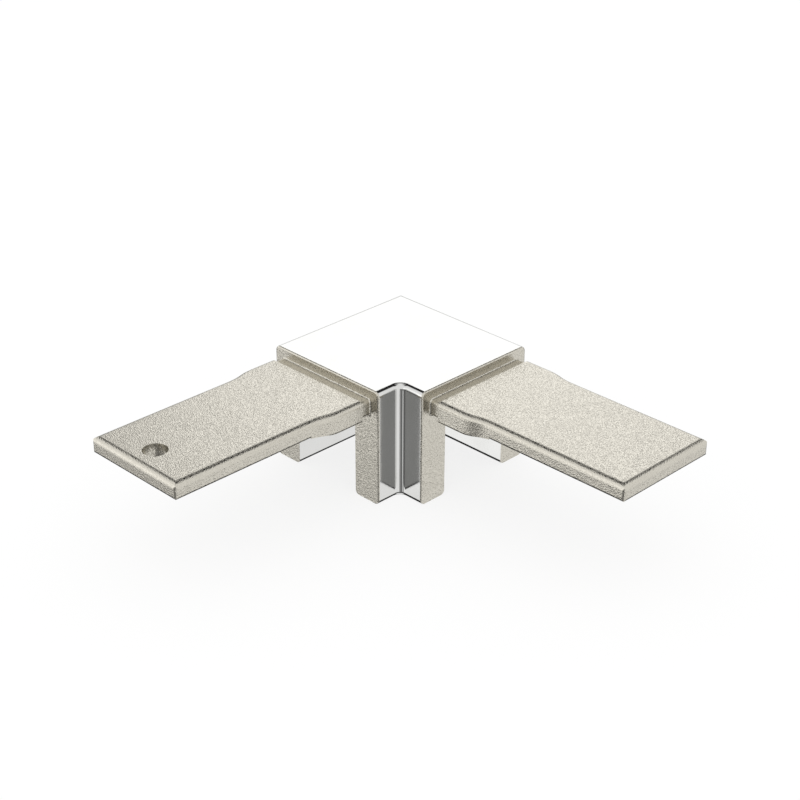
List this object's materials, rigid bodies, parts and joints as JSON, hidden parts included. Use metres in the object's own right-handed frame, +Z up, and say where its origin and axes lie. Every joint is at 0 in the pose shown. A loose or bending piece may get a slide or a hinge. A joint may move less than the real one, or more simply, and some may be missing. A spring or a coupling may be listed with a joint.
{
  "type": "handrail elbow connector",
  "caption": "Cast right-angle corner connector for a slotted top rail: a mitred, polished channel body with a flat tongue on each arm that slides into the rail's end.",
  "frame": {"origin": "where the centre lines of the rails' glass slots cross, on the plane of the feet", "axes": "+X along one arm towards its tongue, -Y along the other arm towards its tongue with the screw hole, +Z up from the feet to the polished top"},
  "size_m": [0.0698, 0.0698, 0.021],
  "materials": {
    "stainless_steel": "mirror-polished body; satin blasted tongues and end faces"
  },
  "bodies": {
    "root": {"elbow_connector": "stainless_steel"}
  },
  "joints": []
}
